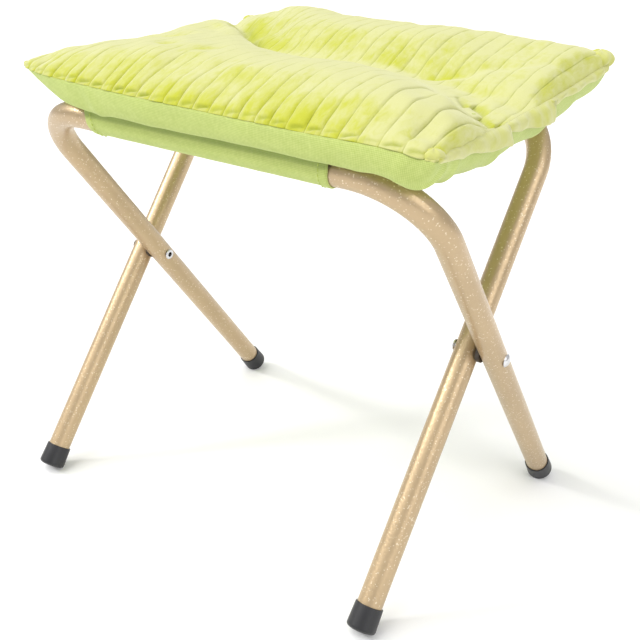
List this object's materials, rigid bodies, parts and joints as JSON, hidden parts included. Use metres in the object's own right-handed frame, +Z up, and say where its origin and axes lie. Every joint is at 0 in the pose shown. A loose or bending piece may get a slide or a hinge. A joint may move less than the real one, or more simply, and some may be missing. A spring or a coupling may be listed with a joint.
{
  "type": "folding footstool",
  "caption": "Low folding stool: two crossed U-shaped steel tube frames riveted at the sides, and a padded fabric cushion carried in a cloth tunnel on each top bar.",
  "frame": {"origin": "on the floor, midway between the four feet, under the pivots", "axes": "+X along the top bars to the user's right, +Y from the front bar to the rear bar, +Z up"},
  "size_m": [0.3655, 0.2718, 0.3679],
  "materials": {
    "tube_finish": "gold-beige hammered metallic paint",
    "foot_cap": "satin black moulded plastic",
    "rivet": "bright zinc plate",
    "spacer": "dark moulded plastic",
    "seat_cloth": "plain basket weave, yellow-green",
    "plush": "wide-ribbed plush, lime yellow",
    "filling": "white fibre, hidden inside the cushion",
    "thread": "matt thread, lime"
  },
  "bodies": {
    "frame_front": {"front_frame_tube": "tube_finish", "front_frame_cap_left": "foot_cap", "front_frame_cap_right": "foot_cap", "pivot_rivet_left": "rivet", "pivot_rivet_right": "rivet", "pivot_spacer_left": "spacer", "pivot_spacer_right": "spacer"},
    "frame_rear": {"rear_frame_tube": "tube_finish", "rear_frame_cap_left": "foot_cap", "rear_frame_cap_right": "foot_cap"},
    "seat_front": {"plush_cover_front": "plush", "filling_front": "filling", "seat_cloth_front": "seat_cloth", "tuft_tacks_front": "thread", "front_sleeve": "seat_cloth"},
    "seat_rear": {"plush_cover_rear": "plush", "filling_rear": "filling", "seat_cloth_rear": "seat_cloth", "tuft_tacks_rear": "thread"},
    "rear_bar_sleeve": {"rear_sleeve": "seat_cloth"}
  },
  "joints": [
    {"name": "fold", "type": "hinge", "parent": "frame_front", "child": "frame_rear", "pos_m": [0, 0, 0.169], "axis": [1, 0, 0], "range_deg": [0, 65]},
    {"name": "seat_on_front_bar", "type": "hinge", "parent": "frame_front", "child": "seat_front", "pos_m": [0, -0.114, 0.31661], "axis": [1, 0, 0], "range_deg": [0, 112.81]},
    {"name": "seat_middle_fold", "type": "hinge", "parent": "seat_front", "child": "seat_rear", "pos_m": [0, 0, 0.31901], "axis": [1, 0, 0], "range_deg": [-160.61, 0]},
    {"name": "sleeve_on_rear_bar", "type": "hinge", "parent": "frame_rear", "child": "rear_bar_sleeve", "pos_m": [0, 0.114, 0.31661], "axis": [1, 0, 0], "range_deg": [-112.81, 0]}
  ],
  "couplings": [
    {"joint": "seat_on_front_bar", "follows": "fold", "ratio": 1.7354},
    {"joint": "seat_middle_fold", "follows": "fold", "ratio": -2.4708},
    {"joint": "sleeve_on_rear_bar", "follows": "fold", "ratio": -1.7354}
  ]
}
